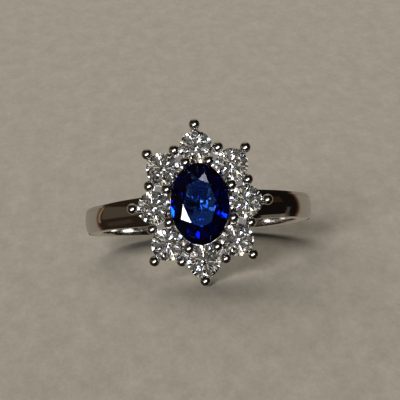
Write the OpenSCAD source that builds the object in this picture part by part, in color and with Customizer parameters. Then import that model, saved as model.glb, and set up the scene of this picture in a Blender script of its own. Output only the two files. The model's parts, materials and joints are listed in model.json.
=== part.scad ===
// Cluster ring: an oval blue stone in a halo of eight round white stones, on a plain polished band.
// Each piece is drawn upright, with the finger's centre at the origin, the finger along Y and the
// head along +Z, and is then laid on its side, as the ring rests when it is put down.

/* [Band] */
// Inside diameter of the band
finger_d = 17.3; // [16.5:0.1:18.5]
// Thickness of the band at the crown of its dome
band_t = 1.4; // [1.2:0.1:1.7]
// Height of the dome across the band's widest place
dome_h = 0.4; // [0.3:0.05:0.45]
// Width of the band under the head
head_w = 2.8; // [2.6:0.1:3.2]
// Width of the band at its sides
side_w = 2.2; // [2:0.1:2.5]
// Width of the band at the back of the finger
back_w = 2; // [1.8:0.1:2.2]

/* [Oval stone] */
// Width across the oval stone
oval_w = 5; // [4.8:0.1:5.1]
// Length of the oval stone
oval_l = 7; // [6.8:0.1:7.1]
// Height of its crown above the girdle
oval_crown = 0.75; // [0.6:0.05:0.9]
// Thickness of its girdle
oval_girdle = 0.2; // [0.18:0.02:0.3]
// Depth of its pavilion below the girdle
oval_pavilion = 1.6; // [1.4:0.1:2.3]
// Table's share of the oval stone
oval_table = 0.58; // [0.5:0.01:0.64]

/* [White stones] */
// Diameter of a white stone
white_d = 2.8; // [2.6:0.05:2.85]
// Height of a white stone's crown
white_crown = 0.42; // [0.35:0.01:0.5]
// Thickness of a white stone's girdle
white_girdle = 0.08; // [0.07:0.01:0.12]
// Depth of a white stone's pavilion
white_pavilion = 1.2; // [1.1:0.05:1.25]
// Table's share of a white stone
white_table = 0.56; // [0.5:0.01:0.62]
// Half the width of the oval through the white stones' centres
halo_rx = 3.94; // [3.9:0.02:4]
// Half the length of that oval
halo_ry = 4.9; // [4.86:0.02:5]
// Place of the four corner stones along that oval, in degrees from the side stones
corner_turn = 41.2; // [40:0.2:43]

/* [Setting] */
// Height of the white stones' girdles above the band
halo_rise = 2.9; // [2.85:0.05:3.6]
// Height of the oval stone's girdle above the white stones' girdles
oval_rise = 0.75; // [0.7:0.05:1]
// Diameter of a claw's ball tip
ball_d = 0.94; // [0.86:0.02:0.98]
// Diameter of a claw's wire
wire_d = 0.7; // [0.6:0.02:0.74]
// Gap between a stone and the metal that holds it
stone_gap = 0.05; // [0.03:0.01:0.06]

/* [Hidden] */
$fn = 64;
eps = 0.01;

finger_r = finger_d / 2;
band_r = finger_r + band_t;
// The dome is an arc across the widest place of the band
dome_r = (pow(head_w / 2, 2) + pow(dome_h, 2)) / (2 * dome_h);
// Half widths of the band against height, from the back of the finger to the head, in shares of its radius
TAPER = [[-1.1, back_w / 2], [0, side_w / 2], [0.58, side_w / 2 + 0.05], [0.82, head_w / 2 - 0.12],
         [1.1, head_w / 2 + 0.06]];

halo_z = band_r + halo_rise;
oval_z = halo_z + oval_rise;
white_r = white_d / 2;
ball_r = ball_d / 2;
wire_r = wire_d / 2;

// Where a brilliant's star points and lower corners lie, in shares of its radius
star_at = 0.78;
lower_at = 0.24;
// Places of the eight main facets round each cut, in degrees
ROUND_TURNS = [for (k = [0:7]) 45 * k];
OVAL_TURNS = [0, 55, 90, 125, 180, 235, 270, 305];
// Straight pieces of girdle along one upper facet
girdle_steps = 2;

// The white stones' centres, seen from above the head, and the way out from the head's centre at each
HALO_TURNS = [0, corner_turn, 90, 180 - corner_turn, 180, 180 + corner_turn, 270, 360 - corner_turn];
HALO = [for (t = HALO_TURNS) [halo_rx * cos(t), halo_ry * sin(t)]];
// How far each white stone is turned in its seat, in degrees
SPINS = [10, 17, 0, -17, -10, 6, 22.5, -6];
function outward(p) = p / norm(p);
// The middle of the seam between a stone and the next, and the way out along the seam
function seam(i) = (HALO[i] + HALO[(i + 1) % 8]) / 2;
function seam_out(i) = let (d = HALO[(i + 1) % 8] - HALO[i]) [d.y, -d.x] / norm(d);

// Gallery plate under the white stones, pierced below each one. It meets their pavilions at seat_at of
// their depth, and its lobes stand in from their girdles by lobe_in.
plate_t = 0.6;
seat_at = 0.46;
lobe_in = 0.18;
plate_top = halo_z - white_girdle - white_pavilion * seat_at;
plate_z = plate_top - plate_t;
lobe_r = white_r - lobe_in;
pierce_r = 0.53 * white_r;
// A bridge's reach inwards and outwards from its seam, and its width along it
bridge_in = 0.86;
bridge_out = 0.8;
bridge_w = 1.4 * white_r;

// Claws: how far each ball's centre stands from what it is measured from. The claw at the top of the
// head leans out further than the rest, and the one at its bottom less.
top_out = 1.95;
bottom_out = 1.65;
claw_out = 1.83;
function ball_out(i) = i == 2 ? top_out : i == 6 ? bottom_out : claw_out;
claw_knee = 1.2;
// Height of an outer claw's knee and radius of its bend
knee_z = plate_z + 0.24;
knee_r = 1.12 * wire_r;
notch_out = 0.79;
notch_foot = 0.6;
// The inner claws next to the oval stone's ends, and those next to its sides
inner_end = 0.56;
inner_side = 0.74;
// At their tips the two by its top lean together, and the two by its bottom lean away from it
top_lean = 0.22;
bottom_lean = 0.16;
function inner_lean(i) = i == 1 || i == 2 ? [-top_lean * sign(seam(i).x), 0]
    : i == 5 || i == 6 ? [0, -bottom_lean] : [0, 0];
// Heights of the balls' centres above the girdle that each one holds
white_ball_up = 0.2;
oval_ball_up = 0.35;

// Lower rail, an oval of four arcs that meet at 45 degrees
rail_rx = 2.5;
rail_ry = 3.3;
rail_d = 0.84;
rail_z = band_r - 0.3;

// How the ring lies: on its lowest ball and on the back edge of the band, whose height below the
// finger's centre is back_at of the band's radius
back_at = 0.985;
ball_y = -halo_ry - bottom_out;
ball_z = halo_z + white_ball_up;
edge_y = -lookup(-back_at, TAPER);
edge_z = -(band_r - dome_r + sqrt(pow(dome_r, 2) - pow(edge_y, 2)));
reach = norm([ball_y - edge_y, ball_z - edge_z]);
tilt = atan2(edge_y - ball_y, ball_z - edge_z) + asin(ball_r / reach);
lift = ball_r - (ball_z * sin(tilt) + ball_y * cos(tilt));
front_y = -ball_z * cos(tilt) + ball_y * sin(tilt) - ball_r;
back_y = -edge_z * cos(tilt) - edge_y * sin(tilt);

module laid() {
    translate([0, -(front_y + back_y) / 2, lift])
        rotate([90 - tilt, 0, 0])
            children();
}

// A brilliant cut. turns gives the main facets, rx and ry the girdle, and girdle top is at height 0.
module brilliant(rx, ry, crown, girdle, pavilion, table, turns) {
    n = girdle_steps;
    // Each main facet and the gap to the next hold two sectors of girdle, the second one from the middle
    gaps = [for (k = [0:7]) (turns[(k + 1) % 8] - turns[k] + 360) % 360];
    mids = [for (k = [0:7]) turns[k] + gaps[k] / 2];
    star_z = [for (g = gaps) crown * (1 - star_at * cos(g / 2)) / (1 - table)];
    lower_z = [for (g = gaps) pavilion * (1 - lower_at * cos(g / 2))];
    // How far a facet's plane lies from the girdle's level, s of n along a sector of half angle h
    function bow(s, h, z, at) = z * (cos((2 * s / n - 1) * h) - cos(h)) / ((1 - at) * cos(h));
    rim = [for (k = [0:7]) for (half = [0:1]) for (s = [0:n - 1])
              let (h = gaps[k] / 4)
              [turns[k] + (half + s / n) * gaps[k] / 2,
               -bow(s, h, star_z[k], star_at),
               bow(s, h, lower_z[k], lower_at) - girdle]];
    function on(r, a, z) = [rx * r * cos(a), ry * r * sin(a), z];
    m = len(rim);
    // First point of each ring of points: table, stars, girdle top, girdle bottom, lower corners, culet
    t0 = 0;
    s0 = 8;
    u0 = 16;
    d0 = u0 + m;
    l0 = d0 + m;
    c0 = l0 + 8;
    points = concat(
        [for (k = [0:7]) on(table, turns[k], crown)],
        [for (k = [0:7]) on(star_at, mids[k], star_z[k])],
        [for (r = rim) on(1, r[0], r[1])],
        [for (r = rim) on(1, r[0], r[2])],
        [for (k = [0:7]) on(lower_at, mids[k], -girdle - lower_z[k])],
        [[0, 0, -girdle - pavilion]]);
    faces = concat(
        [[for (k = [7:-1:0]) t0 + k]],
        [for (k = [0:7]) [t0 + k, t0 + (k + 1) % 8, s0 + k]],
        [for (k = [0:7]) [t0 + k, s0 + k, u0 + 2 * n * k, s0 + (k + 7) % 8]],
        [for (j = [0:15]) concat([s0 + floor(j / 2)], [for (s = [n:-1:0]) u0 + (n * j + s) % m])],
        [for (i = [0:m - 1]) [u0 + i, u0 + (i + 1) % m, d0 + (i + 1) % m, d0 + i]],
        [for (j = [0:15]) concat([l0 + floor(j / 2)], [for (s = [0:n]) d0 + (n * j + s) % m])],
        [for (k = [0:7]) [c0, l0 + (k + 7) % 8, d0 + 2 * n * k, l0 + k]]);
    polyhedron(points, faces);
}

module oval_stone(grow = 0) {
    translate([0, 0, oval_z + grow])
        brilliant(oval_w / 2 + grow, oval_l / 2 + grow, oval_crown, oval_girdle + 2 * grow,
                  oval_pavilion, oval_table, OVAL_TURNS);
}

module white_stone(i) {
    color("gainsboro")
        laid()
            translate([HALO[i - 1].x, HALO[i - 1].y, halo_z])
                rotate([0, 0, HALO_TURNS[i - 1] + SPINS[i - 1]])
                    brilliant(white_r, white_r, white_crown, white_girdle, white_pavilion, white_table,
                              ROUND_TURNS);
}

module oval_sapphire() {
    color("midnightblue")
        laid()
            oval_stone();
}

// A wire from one point to another
module rod(p, q, r) {
    d = q - p;
    translate(p)
        rotate([0, acos(d.z / norm(d)), atan2(d.y, d.x)])
            cylinder(h = norm(d), r = r);
}

// The band: a domed hoop with flat sides that draws in towards the back
module band() {
    difference() {
        intersection() {
            rotate([90, 0, 0])
                rotate_extrude()
                    translate([band_r - dome_r, 0])
                        circle(r = dome_r);
            rotate([0, -90, 0])
                linear_extrude(height = 3 * band_r, center = true)
                    polygon(concat([for (s = TAPER) [s[0] * band_r, s[1]]],
                                   [for (i = [len(TAPER) - 1:-1:0]) [TAPER[i][0] * band_r, -TAPER[i][1]]]));
        }
        rotate([90, 0, 0])
            cylinder(h = 4 * head_w, r = finger_r, center = true);
    }
}

// The lower rail: side arcs and end arcs of round wire
module lower_rail() {
    spread = (rail_ry - rail_rx) / (sqrt(2) - 1);
    shift = spread / sqrt(2);
    for (turn = [0, 180]) {
        translate([0, 0, rail_z])
            rotate([0, 0, turn]) {
                translate([-shift, 0, 0])
                    rotate([0, 0, -45])
                        rotate_extrude(angle = 90)
                            translate([rail_rx + shift, 0])
                                circle(d = rail_d);
                translate([0, shift, 0])
                    rotate([0, 0, 45])
                        rotate_extrude(angle = 90)
                            translate([rail_ry - shift, 0])
                                circle(d = rail_d);
            }
    }
}

// A point of the lower rail, on the way out to stone i
function rail_point(i) = let (o = outward(HALO[i])) o / norm([o.x / rail_rx, o.y / rail_ry]);

// The gallery plate: a round lobe under each white stone, a bridge across each seam, and a hole
// pierced through each lobe
module gallery_plate() {
    difference() {
        for (i = [0:7]) {
            o = seam_out(i);
            translate([HALO[i].x, HALO[i].y, plate_z])
                cylinder(h = plate_t, r = lobe_r);
            translate([seam(i).x, seam(i).y, plate_z])
                rotate([0, 0, atan2(o.y, o.x)])
                    translate([-bridge_in, -bridge_w / 2, 0])
                        cube([bridge_in + bridge_out, bridge_w, plate_t]);
        }
        for (p = HALO)
            translate([p.x, p.y, plate_z - eps])
                cylinder(h = plate_t + 2 * eps, r = pierce_r);
    }
}

// An outer claw: from the lower rail to the lobe's edge, then up past the girdle to its ball
module outer_claw(i) {
    o = outward(HALO[i]);
    foot = rail_point(i);
    knee = HALO[i] + claw_knee * o;
    tip = HALO[i] + ball_out(i) * o;
    rod([foot.x, foot.y, rail_z], [knee.x, knee.y, knee_z], wire_r);
    rod([knee.x, knee.y, knee_z], [tip.x, tip.y, halo_z + white_ball_up], wire_r);
    translate([knee.x, knee.y, knee_z])
        sphere(r = knee_r);
    translate([tip.x, tip.y, halo_z + white_ball_up])
        sphere(r = ball_r);
}

// The two claws on a seam: the notch claw outside, and the inner claw that also holds the oval stone
module seam_claws(i) {
    m = seam(i);
    o = seam_out(i);
    foot = m + notch_foot * o;
    tip = m + notch_out * o;
    // Seams 1, 2, 5 and 6 lie beside the end stones
    inner = m - (i % 4 == 1 || i % 4 == 2 ? inner_end : inner_side) * o;
    inner_tip = inner + inner_lean(i);
    rod([foot.x, foot.y, plate_z + plate_t / 2], [tip.x, tip.y, halo_z + white_ball_up], wire_r);
    translate([tip.x, tip.y, halo_z + white_ball_up])
        sphere(r = ball_r);
    rod([inner.x, inner.y, plate_z + plate_t / 2], [inner_tip.x, inner_tip.y, oval_z + oval_ball_up],
        wire_r);
    translate([inner_tip.x, inner_tip.y, oval_z + oval_ball_up])
        sphere(r = ball_r);
}

// The room a white stone takes, with the gap round it
module white_seat(i) {
    g = stone_gap;
    star_z = white_crown * (1 - star_at * cos(22.5)) / (1 - white_table);
    translate([HALO[i].x, HALO[i].y, halo_z])
        rotate_extrude()
            polygon([[0, -white_girdle - white_pavilion - 2 * g],
                     [white_r + g, -white_girdle - g],
                     [white_r + g, g / 2],
                     [white_r * star_at + g, star_z + g],
                     [white_r * white_table + g, white_crown + g],
                     [0, white_crown + g]]);
}

module band_and_setting() {
    color("silver")
        laid()
            difference() {
                union() {
                    band();
                    lower_rail();
                    gallery_plate();
                    for (i = [0:7]) {
                        outer_claw(i);
                        seam_claws(i);
                    }
                }
                for (i = [0:7])
                    white_seat(i);
                oval_stone(stone_gap);
            }
}

band_and_setting();
oval_sapphire();
for (i = [1:8])
    white_stone(i);
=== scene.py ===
import json
import math

import bmesh
import bpy
from mathutils import Matrix, Quaternion, Vector


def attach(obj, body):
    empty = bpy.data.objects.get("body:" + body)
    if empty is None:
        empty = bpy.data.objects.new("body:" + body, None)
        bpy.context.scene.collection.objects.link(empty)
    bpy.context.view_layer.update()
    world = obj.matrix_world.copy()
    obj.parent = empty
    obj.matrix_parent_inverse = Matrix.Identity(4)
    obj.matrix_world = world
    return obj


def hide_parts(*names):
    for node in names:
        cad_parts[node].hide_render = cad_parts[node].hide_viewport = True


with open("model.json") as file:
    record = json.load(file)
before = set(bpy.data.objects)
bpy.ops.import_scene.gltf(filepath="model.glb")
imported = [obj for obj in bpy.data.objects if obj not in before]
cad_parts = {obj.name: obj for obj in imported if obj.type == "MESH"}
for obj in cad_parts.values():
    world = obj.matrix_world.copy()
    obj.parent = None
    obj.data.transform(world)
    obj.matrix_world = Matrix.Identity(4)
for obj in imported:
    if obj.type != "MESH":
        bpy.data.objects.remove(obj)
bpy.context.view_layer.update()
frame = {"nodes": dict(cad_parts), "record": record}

# The band: a plain hoop of sterling silver, turned and filed to a low dome with eased edges, a little
# narrower at the back of the finger than under the head, then polished and plated with rhodium.
# The ring is drawn upright in millimetres, the finger along Y and the head along +Z, and laid down last.
hole = frame["record"]["mounts"][0]
finger = Vector(hole["axis"])
across = Vector((1, 0, 0))
LAID = (
    Matrix.Translation(Vector(hole["pos_m"]))
    @ Matrix((across, finger, across.cross(finger))).transposed().to_4x4()
    @ Matrix.Scale(0.001, 4)
)
FINGER_R = hole["dims"]["r_mm"]
BAND_R = FINGER_R + 1.4
DOME_R = 2.65
# Half widths of the band against height, in shares of its radius
TAPER = ((-1.1, 1.0), (0, 1.1), (0.58, 1.15), (0.82, 1.28), (1.1, 1.46))
# How far the outer and the inner rims are eased, and how sharply the hoop turns at a rim
OUTER_EASE = 0.34
INNER_EASE = 0.16
RIM_ANGLE = math.radians(40)
DOME_STEPS = 12
HOOP_STEPS = 240


def half_width(height):
    """Half the band's width at a height above the finger's centre."""
    share = height / BAND_R
    for (low, low_w), (high, high_w) in zip(TAPER, TAPER[1:]):
        if share <= high:
            return low_w + (high_w - low_w) * (share - low) / (high - low)
    return TAPER[-1][1]


def dome(y):
    """Radius of the band's outside at a distance from the middle of its width."""
    return BAND_R - DOME_R + math.sqrt(DOME_R**2 - y**2)


def solid(bm, name):
    """A closed mesh as an object, with its seams merged and its faces pointing out."""
    bmesh.ops.remove_doubles(bm, verts=bm.verts, dist=0.0005)
    bmesh.ops.recalc_face_normals(bm, faces=bm.faces)
    mesh = bpy.data.meshes.new(name)
    bm.to_mesh(mesh)
    bm.free()
    piece = bpy.data.objects.new(name, mesh)
    bpy.context.scene.collection.objects.link(piece)
    return piece


def turn_band():
    bm = bmesh.new()
    section = [bm.verts.new((FINGER_R, -1, 0)), bm.verts.new((FINGER_R, 1, 0))]
    for step in range(DOME_STEPS + 1):
        section.append(bm.verts.new((BAND_R, math.cos(math.pi * step / DOME_STEPS), 0)))
    edges = [bm.edges.new((a, b)) for a, b in zip(section, section[1:] + section[:1])]
    bmesh.ops.spin(bm, geom=section + edges, cent=(0, 0, 0), axis=(0, 1, 0), angle=math.tau,
                   steps=HOOP_STEPS, use_merge=True)
    outer = [v for v in bm.verts if math.hypot(v.co.x, v.co.z) > (FINGER_R + BAND_R) / 2]
    for v in bm.verts:
        v.co.y *= half_width(v.co.z)
    for v in outer:
        reach = dome(v.co.y) / BAND_R
        v.co.x *= reach
        v.co.z *= reach
    bmesh.ops.recalc_face_normals(bm, faces=bm.faces)
    rims = [e for e in bm.edges if e.calc_face_angle(0) > RIM_ANGLE]
    for inside, ease in ((False, OUTER_EASE), (True, INNER_EASE)):
        edges = [
            e for e in rims
            if (math.hypot(e.verts[0].co.x, e.verts[0].co.z) < FINGER_R + 0.2) == inside
        ]
        bmesh.ops.bevel(bm, geom=edges, offset=ease, offset_type="OFFSET", segments=5, profile=0.5,
                        affect="EDGES", material=-1)
        if not inside:
            rims = [e for e in bm.edges if e.calc_face_angle(0) > RIM_ANGLE]
    return solid(bm, "band")


metal = [turn_band()]

# The lower rail: an oval hoop of round silver wire, bent in four arcs and soldered on the band's crown.
# It carries the feet of the outer claws.
RAIL_RX = 2.5
RAIL_RY = 3.3
RAIL_WIRE_R = 0.42
RAIL_Z = BAND_R - 0.3


def bend_rail():
    reach = (RAIL_RY - RAIL_RX) / (2 - math.sqrt(2))
    bm = bmesh.new()
    start = Matrix.Translation((RAIL_RX, 0, RAIL_Z)) @ Matrix.Rotation(math.pi / 2, 4, "X")
    bmesh.ops.create_circle(bm, segments=20, radius=RAIL_WIRE_R, matrix=start)
    last = bm.verts[:] + bm.edges[:]
    # Half a side arc, an end arc, a side arc, the other end arc and the other half of the first side arc
    side, end = (-reach, 0), (0, reach)
    far_side, far_end = (reach, 0), (0, -reach)
    for centre, eighths in ((side, 1), (end, 2), (far_side, 2), (far_end, 2), (side, 1)):
        spun = bmesh.ops.spin(bm, geom=last, cent=(*centre, RAIL_Z), axis=(0, 0, 1),
                              angle=eighths * math.pi / 4, steps=12 * eighths)
        last = spun["geom_last"]
    return solid(bm, "lower_rail")


metal.append(bend_rail())

# The gallery plate: silver sheet sawn to eight lobes with a bridge across each seam, and pierced under
# each white stone so that light reaches it. It sits close below the girdles.
HALO_Z = BAND_R + 2.9
OVAL_Z = HALO_Z + 0.75
WHITE_R = 1.4
WHITE_GIRDLE = 0.08
WHITE_PAVILION = 1.2
# The oval that the white stones' centres stand on, and how far the corner stones stand round it
HALO_RX = 3.94
HALO_RY = 4.9
CORNER = 41.2
HALO_TURNS = [math.radians(t) for t in (0, CORNER, 90, 180 - CORNER, 180, 180 + CORNER, 270, 360 - CORNER)]
HALO = [Vector((HALO_RX * math.cos(t), HALO_RY * math.sin(t), 0)) for t in HALO_TURNS]
PLATE_T = 0.6
PLATE_Z = HALO_Z - WHITE_GIRDLE - 0.46 * WHITE_PAVILION - PLATE_T
LOBE_R = WHITE_R - 0.18
PIERCE_R = 0.53 * WHITE_R
# A bridge's reach inwards and outwards from its seam, and its width along it
BRIDGE_IN = 0.86
BRIDGE_OUT = 0.8
BRIDGE_W = 1.4 * WHITE_R


def seam(i):
    """The middle of the seam between a stone and the next, and the way out along the seam."""
    here, there = HALO[i], HALO[(i + 1) % 8]
    along = (there - here).normalized()
    return (here + there) / 2, Vector((along.y, -along.x, 0))


def disc(name, centre, radius, low, high):
    bm = bmesh.new()
    place = Matrix.Translation((centre.x, centre.y, (low + high) / 2))
    bmesh.ops.create_cone(bm, cap_ends=True, segments=48, radius1=radius, radius2=radius,
                          depth=high - low, matrix=place)
    return solid(bm, name)


def bridge(i):
    middle, out = seam(i)
    shift = (BRIDGE_OUT - BRIDGE_IN) / 2
    place = (
        Matrix.Translation((*(middle + shift * out).xy, PLATE_Z + PLATE_T / 2))
        @ Matrix.Rotation(math.atan2(out.y, out.x), 4, "Z")
        @ Matrix.Diagonal((BRIDGE_IN + BRIDGE_OUT, BRIDGE_W, PLATE_T, 1))
    )
    bm = bmesh.new()
    bmesh.ops.create_cube(bm, size=1, matrix=place)
    return solid(bm, "bridge")


def soldered(name, solids, cutters):
    """One closed mesh: the solids run together, less the room that the cutters take."""
    base = solids[0]
    for others, operation in ((solids[1:], "UNION"), (cutters, "DIFFERENCE")):
        group = bpy.data.collections.new(operation)
        for o in others:
            group.objects.link(o)
        fuse = base.modifiers.new(operation, "BOOLEAN")
        fuse.operation = operation
        fuse.operand_type = "COLLECTION"
        fuse.collection = group
        fuse.solver = "MANIFOLD"
    bpy.context.view_layer.update()
    mesh = bpy.data.meshes.new_from_object(base.evaluated_get(bpy.context.evaluated_depsgraph_get()))
    mesh.name = name
    for o in solids + cutters:
        bpy.data.objects.remove(o)
    piece = bpy.data.objects.new(name, mesh)
    bpy.context.scene.collection.objects.link(piece)
    return piece


lobes = [disc("lobe", p, LOBE_R, PLATE_Z, PLATE_Z + PLATE_T) for p in HALO]
holes = [disc("hole", p, PIERCE_R, PLATE_Z - 0.1, PLATE_Z + PLATE_T + 0.1) for p in HALO]
metal.append(soldered("gallery_plate", lobes + [bridge(i) for i in range(8)], holes))

# The claws: 24 silver wires, each melted to a ball at its tip. Eight bend out from the lower rail past
# the points of the star, eight stand in its notches and eight stand inside, beside the oval stone.
BALL_R = 0.47
WIRE_R = 0.35
SHAFT_STEPS = 24
BALL_STEPS = 12
# Heights of the balls' centres over the girdles of the white stones and of the oval stone
BALL_UP = 0.2
INNER_BALL_UP = 0.35
# Outer claws: how far each ball's centre stands out from its stone's, anticlockwise from the right, and
# where their knees stand, out from the stone's centre and up from the plate's underside
BALL_OUT = (1.83, 1.83, 1.95, 1.83, 1.83, 1.83, 1.65, 1.83)
KNEE_OUT = 1.2
KNEE_UP = 0.24
KNEE_ROUND = 0.5
# Claws at the seams: out from the seam's middle at the foot and the tip of an outside one, and in from it
# for an inside one at the sides and at the ends of the oval stone
NOTCH_FOOT = 0.6
NOTCH_TIP = 0.79
INNER_SIDE = 0.74
INNER_END = 0.56
# How the inner claws by the oval stone's ends lean, by seam
INNER_LEAN = {1: (-0.22, 0), 2: (0.22, 0), 5: (0, -0.16), 6: (0, -0.16)}


def claw(points):
    """A wire through the points, rounded where it bends, with a ball on its end."""
    rises = [b - a for a, b in zip(points, points[1:])]
    lengths = [r.length for r in rises]
    ways = [r.normalized() for r in rises]
    side = Vector((0, 0, 1)).cross(ways[-1])
    side = side.normalized() if side.length > 1e-6 else Vector((1, 0, 0))
    total = sum(lengths)

    def along(s):
        """The wire's centre and direction at a distance from its foot."""
        if len(ways) == 1:
            return points[0] + s * ways[0], ways[0]
        t = (s - lengths[0] + KNEE_ROUND) / (2 * KNEE_ROUND)
        if t <= 0:
            return points[0] + s * ways[0], ways[0]
        if t >= 1:
            return points[1] + (s - lengths[0]) * ways[1], ways[1]
        a, b = points[1] - KNEE_ROUND * ways[0], points[1] + KNEE_ROUND * ways[1]
        place = (1 - t) ** 2 * a + 2 * t * (1 - t) * points[1] + t**2 * b
        return place, ways[0].lerp(ways[1], t).normalized()

    neck = math.asin(WIRE_R / BALL_R)
    shafts = [total * k / SHAFT_STEPS for k in range(SHAFT_STEPS + 1)]
    # The shaft's last ring stands just short of the ball's first
    shafts = [s for s in shafts if s < total - BALL_R * math.cos(neck) - 0.02]
    turns = [neck + (math.pi - neck) * k / BALL_STEPS for k in range(BALL_STEPS + 1)]
    profile = [(0, 0)] + [(WIRE_R, s) for s in shafts]
    profile += [(BALL_R * math.sin(a), total - BALL_R * math.cos(a)) for a in turns]
    bm = bmesh.new()
    chain = [bm.verts.new((r, 0, s)) for r, s in profile]
    edges = [bm.edges.new(pair) for pair in zip(chain, chain[1:])]
    bmesh.ops.spin(bm, geom=chain + edges, cent=(0, 0, 0), axis=(0, 0, 1), angle=math.tau, steps=24,
                   use_merge=True)
    for v in bm.verts:
        centre, way = along(v.co.z)
        v.co = centre + v.co.x * side + v.co.y * way.cross(side)
    return solid(bm, "claw")


def at_height(p, z):
    return Vector((p.x, p.y, z))


for p, reach in zip(HALO, BALL_OUT):
    out = p.normalized()
    foot = out / math.hypot(out.x / RAIL_RX, out.y / RAIL_RY)
    knee = p + KNEE_OUT * out
    tip = p + reach * out
    metal.append(claw([
        at_height(foot, RAIL_Z), at_height(knee, PLATE_Z + KNEE_UP), at_height(tip, HALO_Z + BALL_UP),
    ]))
for i in range(8):
    middle, out = seam(i)
    plate_middle = PLATE_Z + PLATE_T / 2
    foot, tip = middle + NOTCH_FOOT * out, middle + NOTCH_TIP * out
    metal.append(claw([at_height(foot, plate_middle), at_height(tip, HALO_Z + BALL_UP)]))
    # The seams 1 and 2 are at the oval stone's upper end, and 5 and 6 at its lower end
    foot = middle - (INNER_END if i % 4 in (1, 2) else INNER_SIDE) * out
    tip = foot + Vector((*INNER_LEAN.get(i, (0, 0)), 0))
    metal.append(claw([at_height(foot, plate_middle), at_height(tip, OVAL_Z + INNER_BALL_UP)]))


# The seats: the notches that a setting burr cuts in the claws, one for each stone, into which its girdle
# snaps. The whole metalwork is soldered into one piece before it is cut, polished and plated.
def seat(centre, radius, length, girdle_top, profile):
    bm = bmesh.new()
    chain = [bm.verts.new((radius * share, 0, z)) for share, z in profile]
    edges = [bm.edges.new(pair) for pair in zip(chain, chain[1:])]
    bmesh.ops.spin(bm, geom=chain + edges, cent=(0, 0, 0), axis=(0, 0, 1), angle=math.tau, steps=64,
                   use_merge=True)
    bmesh.ops.scale(bm, vec=(1, length, 1), verts=bm.verts)
    bmesh.ops.translate(bm, vec=at_height(centre, girdle_top), verts=bm.verts)
    return solid(bm, "seat")


GAP = 0.05
# Outlines of the burr, as shares of its radius and heights from the top of the girdle
WHITE_SEAT = ((0, -1.38), (1, -0.13), (1, 0.03), (0.79, 0.29), (0.58, 0.47), (0, 0.47))
OVAL_SEAT = ((0, -1.9), (1, -0.25), (1, GAP), (0.79, 0.45), (0.59, 0.8), (0, 0.8))
OVAL_RX, OVAL_RY = 2.5, 3.5
seats = [seat(p, WHITE_R + GAP, 1, HALO_Z, WHITE_SEAT) for p in HALO]
seats.append(seat(Vector((0, 0, 0)), OVAL_RX + GAP, (OVAL_RY + GAP) / (OVAL_RX + GAP), OVAL_Z, OVAL_SEAT))
setting = soldered("polished_band_and_setting", metal, seats)
setting.data.transform(LAID)
setting.data.shade_smooth()
# Curves look round, and the edges that turn by more than 32 degrees look sharp
setting.data.set_sharp_from_angle(angle=math.radians(32))


def add_node(tree, kind, settings=(), links=()):
    """Adds a node with its settings by socket name, socket place or attribute, and the links into it."""
    node = tree.nodes.new(kind)
    for name, value in dict(settings).items():
        if isinstance(name, int) or name in node.inputs:
            node.inputs[name].default_value = value
        else:
            setattr(node, name, value)
    for name, source in dict(links).items():
        tree.links.new(source, node.inputs[name])
    return node


def colour(code):
    """An sRGB hex colour as linear light."""
    parts = [int(code[i:i + 2], 16) / 255 for i in (1, 3, 5)]
    return (*[c / 12.92 if c <= 0.04045 else ((c + 0.055) / 1.055) ** 2.4 for c in parts], 1.0)


def new_material(name):
    material = bpy.data.materials.new(name)
    material.use_nodes = True
    material.node_tree.nodes.clear()
    return material, material.node_tree


# The finish of all the metal: rhodium plate on silver, polished on a cloth wheel. The eye sees a cool white
# mirror, as dark or as pale as the room that it shows. The wheel's hair scratches are too fine to show, so
# they are drawn as soft waves 1.1 mm apart, which blur a reflection more here and less there.
WHEEL_MARK = 1.1


def rhodium_plate():
    material, tree = new_material("rhodium_plated_silver")
    place = add_node(tree, "ShaderNodeTexCoord").outputs["Object"]
    wheel = add_node(tree, "ShaderNodeTexNoise", {"Scale": 1000 / WHEEL_MARK, "Detail": 3.0},
                     {"Vector": place})
    gloss = add_node(tree, "ShaderNodeMapRange", {"To Min": 0.05, "To Max": 0.13},
                     {"Value": wheel.outputs["Fac"]})
    waves = add_node(tree, "ShaderNodeBump", {"Strength": 0.08, "Distance": 0.00005},
                     {"Height": wheel.outputs["Fac"]})
    plate = add_node(tree, "ShaderNodeBsdfPrincipled", {"Base Color": colour("#DBD8D4"), "Metallic": 1.0},
                     {"Roughness": gloss.outputs["Result"], "Normal": waves.outputs["Normal"]})
    add_node(tree, "ShaderNodeOutputMaterial", (), {"Surface": plate.outputs["BSDF"]})
    return material


setting.data.materials.clear()
setting.data.materials.append(rhodium_plate())
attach(setting, "root")
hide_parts("band_and_setting")


# The oval stone: a deep blue sapphire, cut as an oval brilliant and polished on every facet. Its colour
# comes from the depth of stone that the light crosses: navy through the table, near black towards the
# girdle, and a bright blue where a lamp's light finds its way out.
def sapphire():
    material, tree = new_material("polished_sapphire")
    gem = add_node(tree, "ShaderNodeBsdfPrincipled",
                   {"Base Color": colour("#FFFFFF"), "Roughness": 0.0, "IOR": 1.77,
                    "Transmission Weight": 1.0})
    # A millimetre of the stone takes 78% of the red, 57% of the green and 14% of the blue
    depth = add_node(tree, "ShaderNodeVolumeAbsorption", {"Color": (0.0, 0.44, 0.9, 1), "Density": 1500.0})
    add_node(tree, "ShaderNodeOutputMaterial", (),
             {"Surface": gem.outputs["BSDF"], "Volume": depth.outputs["Volume"]})
    return material


oval = frame["nodes"]["oval_sapphire"]
oval.data.materials.clear()
oval.data.materials.append(sapphire())


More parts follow.
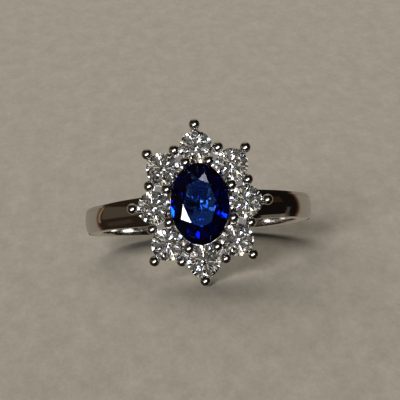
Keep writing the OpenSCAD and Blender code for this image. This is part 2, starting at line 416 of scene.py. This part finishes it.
# The eight white stones: cubic zirconia in the round brilliant cut, polished. It has no colour of its own
# and bends light strongly, so the eye sees white, grey and black flecks side by side.
def zirconia():
    material, tree = new_material("cubic_zirconia")
    gem = add_node(tree, "ShaderNodeBsdfPrincipled",
                   {"Base Color": colour("#FFFFFF"), "Roughness": 0.0, "IOR": 2.15,
                    "Transmission Weight": 1.0})
    add_node(tree, "ShaderNodeOutputMaterial", (), {"Surface": gem.outputs["BSDF"]})
    return material


white = zirconia()
white_stones = [frame["nodes"][f"white_stone_{i}"] for i in range(1, 9)]
for stone in white_stones:
    stone.data.materials.clear()
    stone.data.materials.append(white)

# The surface that the ring lies on: a wide plain sheet of beige suede, split hide buffed to a short nap and
# brushed one way. The eye sees a soft matt sheet, mottled in patches some 2 mm wide where the nap lies over.
# Its hairs are too fine to show, so they are drawn 0.8 mm wide.
FLOOR_HALF = 1.5
NAP_PATCH = 2.0
HAIR = 0.8
# How many times longer a patch or a hair is along the brushing than across it
BRUSHED = 4
# A Mix node's colours go by place, because its sockets share their names
MIX_A, MIX_B, MIXED = 6, 7, 2
bm = bmesh.new()
bmesh.ops.create_grid(bm, x_segments=1, y_segments=1, size=FLOOR_HALF)
floor = solid(bm, "suede_floor")


def suede():
    material, tree = new_material("beige_suede")
    place = add_node(tree, "ShaderNodeTexCoord").outputs["Object"]
    brushed = add_node(tree, "ShaderNodeMapping", {"Scale": (1.0, 1 / BRUSHED, 1.0)}, {"Vector": place})
    nap = add_node(tree, "ShaderNodeTexNoise", {"Scale": 1000 / NAP_PATCH, "Detail": 4.0, "Roughness": 0.9},
                   {"Vector": brushed.outputs["Vector"]})
    tone = add_node(tree, "ShaderNodeMix",
                    {"data_type": "RGBA", MIX_A: colour("#716D61"), MIX_B: colour("#B7B2A5")},
                    {"Factor": nap.outputs["Fac"]})
    hairs = add_node(tree, "ShaderNodeTexNoise", {"Scale": 1000 / HAIR, "Detail": 3.0},
                     {"Vector": brushed.outputs["Vector"]})
    pile = add_node(tree, "ShaderNodeBump", {"Strength": 0.2, "Distance": 0.0002},
                    {"Height": hairs.outputs["Fac"]})
    cloth = add_node(tree, "ShaderNodeBsdfPrincipled", {"Roughness": 0.95, "Sheen Weight": 0.2},
                     {"Base Color": tone.outputs[MIXED], "Normal": pile.outputs["Normal"]})
    add_node(tree, "ShaderNodeOutputMaterial", (), {"Surface": cloth.outputs["BSDF"]})
    return material


floor.data.materials.append(suede())
floor.visible_glossy = False
floor.visible_transmission = False

# The camera: a long lens that looks at the head 4.1 degrees past its axis, from the side that the ring lies
# on, and is turned a little on its own axis.
HEAD_TILT = math.degrees(math.asin(finger.y))
PAST_AXIS = 4.1
ELEVATION = math.radians(HEAD_TILT - PAST_AXIS)
AZIMUTH = math.radians(-0.9)
ROLL = math.radians(3.9)
DISTANCE = 0.3
LENS = 318
# How far below the middle of the picture the oval stone's middle lies, in mm
STONE_DROP = 0.314
back = Vector((math.sin(AZIMUTH) * math.cos(ELEVATION), -math.cos(AZIMUTH) * math.cos(ELEVATION),
               math.sin(ELEVATION)))
turn = back.to_track_quat("Z", "Y").to_matrix().to_4x4() @ Matrix.Rotation(-ROLL, 4, "Z")
aim = LAID @ Vector((0, 0, OVAL_Z)) + turn.to_3x3() @ Vector((0, STONE_DROP / 1000, 0))
camera = bpy.data.objects.new("camera", bpy.data.cameras.new("camera"))
camera.matrix_world = Matrix.Translation(aim + DISTANCE * back) @ turn
camera.data.lens = LENS
camera.data.clip_start = 0.01
camera.data.clip_end = 10
bpy.context.scene.collection.objects.link(camera)
bpy.context.scene.camera = camera

# The light on the suede: one wide lamp low in front on the left, and a wider one high behind on the left,
# whose soft shadow falls towards the camera. Both are a little warm.
SUN_TINT = "#FFF8EE"
for name, energy, towards, spread in (
    ("front_light", 2.65, (-0.3, -0.88, 0.37), 20), ("top_light", 2.2, (-0.3, 0.95, 0.76), 50),
):
    sun = bpy.data.objects.new(name, bpy.data.lights.new(name, "SUN"))
    sun.data.energy = energy
    sun.data.angle = math.radians(spread)
    sun.data.color = colour(SUN_TINT)[:3]
    sun.rotation_mode = "QUATERNION"
    sun.rotation_quaternion = Vector(towards).to_track_quat("Z", "Y")
    sun.visible_glossy = False
    sun.visible_transmission = False
    bpy.context.scene.collection.objects.link(sun)

# The studio: soft boxes and pale cards on stands round the ring. Each is seen only in the pieces that it is
# set up for, and only mirrored on their faces or only through the stones, so none lights the suede.
LAMP_DISTANCE = 0.36
shown_by = {}
for name, pieces in (
    ("metal", [setting]), ("oval", [oval]), ("whites", white_stones), ("stones", [oval, *white_stones]),
):
    shown_by[name] = bpy.data.collections.new(f"shown_by_{name}")
    for piece in pieces:
        shown_by[name].objects.link(piece)


def soft_box(name, place, length, width, radiance, only, tint, inside):
    """A soft box that shows in some pieces only, on their faces or inside the stones."""
    light = bpy.data.lights.new(name, "AREA")
    light.shape = "RECTANGLE"
    light.size, light.size_y = length, width
    light.energy = radiance * math.pi * length * width
    light.color = colour(tint)[:3]
    box = bpy.data.objects.new(name, light)
    box.matrix_world = place
    box.visible_camera = False
    box.visible_diffuse = False
    box.visible_glossy = not inside
    box.visible_transmission = inside
    box.light_linking.receiver_collection = shown_by[only]
    bpy.context.scene.collection.objects.link(box)


def lamp(name, right, up, length, width, rise, radiance, only, tint="#FFFFFF", inside=False):
    """A soft box round the ring, its place, size and slope in degrees, counted from the camera."""
    right, up, rise = math.radians(right), math.radians(up), math.radians(rise)
    across_view = Vector((math.cos(right), 0, -math.sin(right)))
    out_of_view = Vector((math.sin(right) * math.cos(up), math.sin(up), math.cos(right) * math.cos(up)))
    level, way = turn.to_3x3() @ across_view, turn.to_3x3() @ out_of_view
    level.rotate(Quaternion(way, rise))
    over = way.cross(level).normalized()
    place = Matrix((over.cross(way), over, way)).transposed().to_4x4()
    place.translation = aim + LAMP_DISTANCE * way
    length, width = [2 * LAMP_DISTANCE * math.tan(math.radians(side / 2)) for side in (length, width)]
    soft_box(name, place, length, width, radiance, only, tint, inside)


# On the facets of the stones
lamp("long_box", -8, -2, 50, 5, 15, 16, "stones")
lamp("top_box", 14, 46.9, 12, 12, 0, 3, "stones")
# In the metal: the bright box in front, and the glow round it
lamp("ring_box", -2, -10, 62, 18, 30, 6, "metal")
lamp("ring_glow", -6, -6, 90, 60, 30, 0.26, "metal")
# In the metal: beige, cream and amber cards at the sides
lamp("left_card", -88, 6, 56, 27, 0, 0.11, "metal", "#B5A68E")
lamp("left_low_card", -92, -22, 34, 12, 0, 0.045, "metal", "#B5A68E")
lamp("left_trim", -121, 4, 3.5, 30, 0, 0.24, "metal", "#FFDDB0")
lamp("right_sill", 101, -33, 34, 14, 14, 0.16, "metal", "#E8DAC0")
lamp("right_frame", 106, -14, 5, 26, 0, 0.08, "metal", "#E8DAC0")
lamp("right_card", 89, 18, 18, 14, 0, 0.025, "metal", "#E8B060")
# Through the oval stone: small bright lamps that its facets throw back as blue flashes
lamp("streak_flash", -18, 31.5, 11, 11, 0, 8, "oval", inside=True)
lamp("left_flash", 0.45, 8, 0.8, 0.8, 0, 140, "oval", inside=True)
lamp("bottom_flash", -3.8, 5, 0.5, 3, 0, 12, "oval", inside=True)

# What the polished metal under the oval stone throws back up through it: a faint glow that fills the window
# in its table, and bright streaks across that. Places and sizes are in mm, laid out between the crown of the
# band and the stone's point.
CROWN_Z = BAND_R + 1.15
CROWN_TINT = "#C0DCFF"
facing_up = (LAID.to_3x3().normalized() @ Matrix.Rotation(math.pi, 3, "X")).to_4x4()
for name, x, y, lift, length, width, radiance in (
    ("window_low", 0, -0.88, 0, 2.4, 1.5, 0.095),
    ("window_middle", -0.54, 0.08, 0, 1.32, 0.42, 0.06),
    ("window_high", 0, 0.92, 0, 2.4, 1.25, 0.03),
    ("streak_1", -0.21, 0.2, 0.02, 0.07, 0.4, 2.2),
    ("streak_2", -0.32, -0.13, 0.02, 0.22, 0.3, 1.3),
    ("streak_3", -0.85, 1.0, 0.02, 0.3, 0.4, 2.4),
):
    place = Matrix.Translation(LAID @ Vector((x, y, CROWN_Z + lift))) @ facing_up
    soft_box(name, place, length / 1000, width / 1000, radiance, "oval", CROWN_TINT, True)

# The sparkle of the white stones: a clear dome over the whole table, which glows in patches for them alone.
# Each patch has one tone, from black to a bright lamp, and one tint, warm, white or cool.
DOME_OF_LIGHTS_R = 0.7
PATCH = 0.14
# The patches past this share are lamps, up to so many times as bright as white
LAMP_SHARE = 0.9
LAMP_GLOW = 6.0
TONES = ((0.0, "#040404"), (0.45, "#3A3833"), (0.65, "#7D7A71"), (0.8, "#C6C3BA"), (LAMP_SHARE, "#FFFFFF"))
HUES = ((0.0, "#FFDDB0"), (0.3, "#FFFBF3"), (0.84, "#CCDCFF"))
bm = bmesh.new()
bmesh.ops.create_icosphere(bm, subdivisions=5, radius=DOME_OF_LIGHTS_R)
dome_of_lights = solid(bm, "dome_of_lights")


def patches_of_light():
    material, tree = new_material("patches_of_light")
    place = add_node(tree, "ShaderNodeTexCoord").outputs["Object"]
    cells = add_node(tree, "ShaderNodeTexVoronoi", {"Scale": 1 / PATCH}, {"Vector": place})
    share = add_node(tree, "ShaderNodeSeparateColor", (), {"Color": cells.outputs["Color"]})
    tones = add_node(tree, "ShaderNodeValToRGB", (), {"Fac": share.outputs["Red"]})
    hues = add_node(tree, "ShaderNodeValToRGB", (), {"Fac": share.outputs["Green"]})
    for ramp, steps in ((tones.color_ramp, TONES), (hues.color_ramp, HUES)):
        ramp.interpolation = "CONSTANT"
        ramp.elements.remove(ramp.elements[1])
        ramp.elements[0].color = colour(steps[0][1])
        for at, tone in steps[1:]:
            ramp.elements.new(at).color = colour(tone)
    glow = add_node(tree, "ShaderNodeMapRange",
                    {"From Min": LAMP_SHARE, "From Max": 1.0, "To Min": 1.0, "To Max": LAMP_GLOW},
                    {"Value": share.outputs["Red"]})
    tinted = add_node(tree, "ShaderNodeVectorMath", {"operation": "MULTIPLY"},
                      {0: tones.outputs["Color"], 1: hues.outputs["Color"]})
    light = add_node(tree, "ShaderNodeEmission", (),
                     {"Color": tinted.outputs["Vector"], "Strength": glow.outputs["Result"]})
    clear = add_node(tree, "ShaderNodeBsdfTransparent")
    both = add_node(tree, "ShaderNodeAddShader", (),
                    {0: light.outputs["Emission"], 1: clear.outputs["BSDF"]})
    add_node(tree, "ShaderNodeOutputMaterial", (), {"Surface": both.outputs["Shader"]})
    material.cycles.emission_sampling = "NONE"
    return material


dome_of_lights.data.materials.append(patches_of_light())
dome_of_lights.visible_camera = False
dome_of_lights.visible_diffuse = False
dome_of_lights.visible_glossy = False
dome_of_lights.visible_shadow = False
dome_of_lights.light_linking.receiver_collection = shown_by["whites"]

# The room. The metal and the facets mirror dark walls in front of the ring and beside it, a thin
# reddish-brown strip, a pale wall behind it and a pale ceiling. Through the stones the room is nearly black,
# but for the wall behind the camera. The suede gets a little even light from it.
world = bpy.data.worlds.new("room")
bpy.context.scene.world = world
world.use_nodes = True
room = world.node_tree
room.nodes.clear()
way = add_node(room, "ShaderNodeTexCoord").outputs["Generated"]
# Each part of the room has the direction that it lies in, how near a ray's way comes to that, as a cosine,
# where the part starts to show and where it shows fully, and its tone. The rest of the room is plain.
to_the_right = turn.to_3x3() @ Vector((1, 0, 0))
up_behind = (0, 0.63, 0.78)
mirrored_parts = (
    (to_the_right, -0.8, 0.8, "#14100D"), (-back, 0.5, 0.55, "#553325"), (-back, 0.56, 0.62, "#8A8274"),
    (up_behind, 0.86, 0.94, "#9A9488"),
)
parts_through_stones = ((back, 0.9, 0.99, "#5A5852"),)
views = []
for rest, parts in (("#2A221A", mirrored_parts), ("#0B0B0B", parts_through_stones)):
    view = add_node(room, "ShaderNodeRGB").outputs["Color"]
    view.default_value = colour(rest)
    for towards, starts, full, tone in parts:
        nearness = add_node(room, "ShaderNodeVectorMath", {"operation": "DOT_PRODUCT", 1: towards}, {0: way})
        share = add_node(room, "ShaderNodeMapRange", {"From Min": starts, "From Max": full},
                         {"Value": nearness.outputs["Value"]})
        view = add_node(room, "ShaderNodeMix", {"data_type": "RGBA", MIX_B: colour(tone)},
                        {"Factor": share.outputs["Result"], MIX_A: view}).outputs[MIXED]
    views.append(view)
path = add_node(room, "ShaderNodeLightPath")
plain = add_node(room, "ShaderNodeMix", {"data_type": "RGBA", MIX_A: colour("#383634")},
                 {"Factor": path.outputs["Is Glossy Ray"], MIX_B: views[0]})
seen = add_node(room, "ShaderNodeMix", {"data_type": "RGBA"},
                {"Factor": path.outputs["Is Transmission Ray"], MIX_A: plain.outputs[MIXED],
                 MIX_B: views[1]})
shell = add_node(room, "ShaderNodeBackground", {"Strength": 1.0}, {"Color": seen.outputs[MIXED]})
add_node(room, "ShaderNodeOutputWorld", (), {"Surface": shell.outputs["Background"]})

# The picture: plain tones, and light followed through all the facets of a stone.
scene = bpy.context.scene
scene.view_settings.view_transform = "Standard"
scene.cycles.max_bounces = 24
scene.cycles.glossy_bounces = 16
scene.cycles.transmission_bounces = 24
scene.cycles.caustics_reflective = False
scene.cycles.caustics_refractive = False
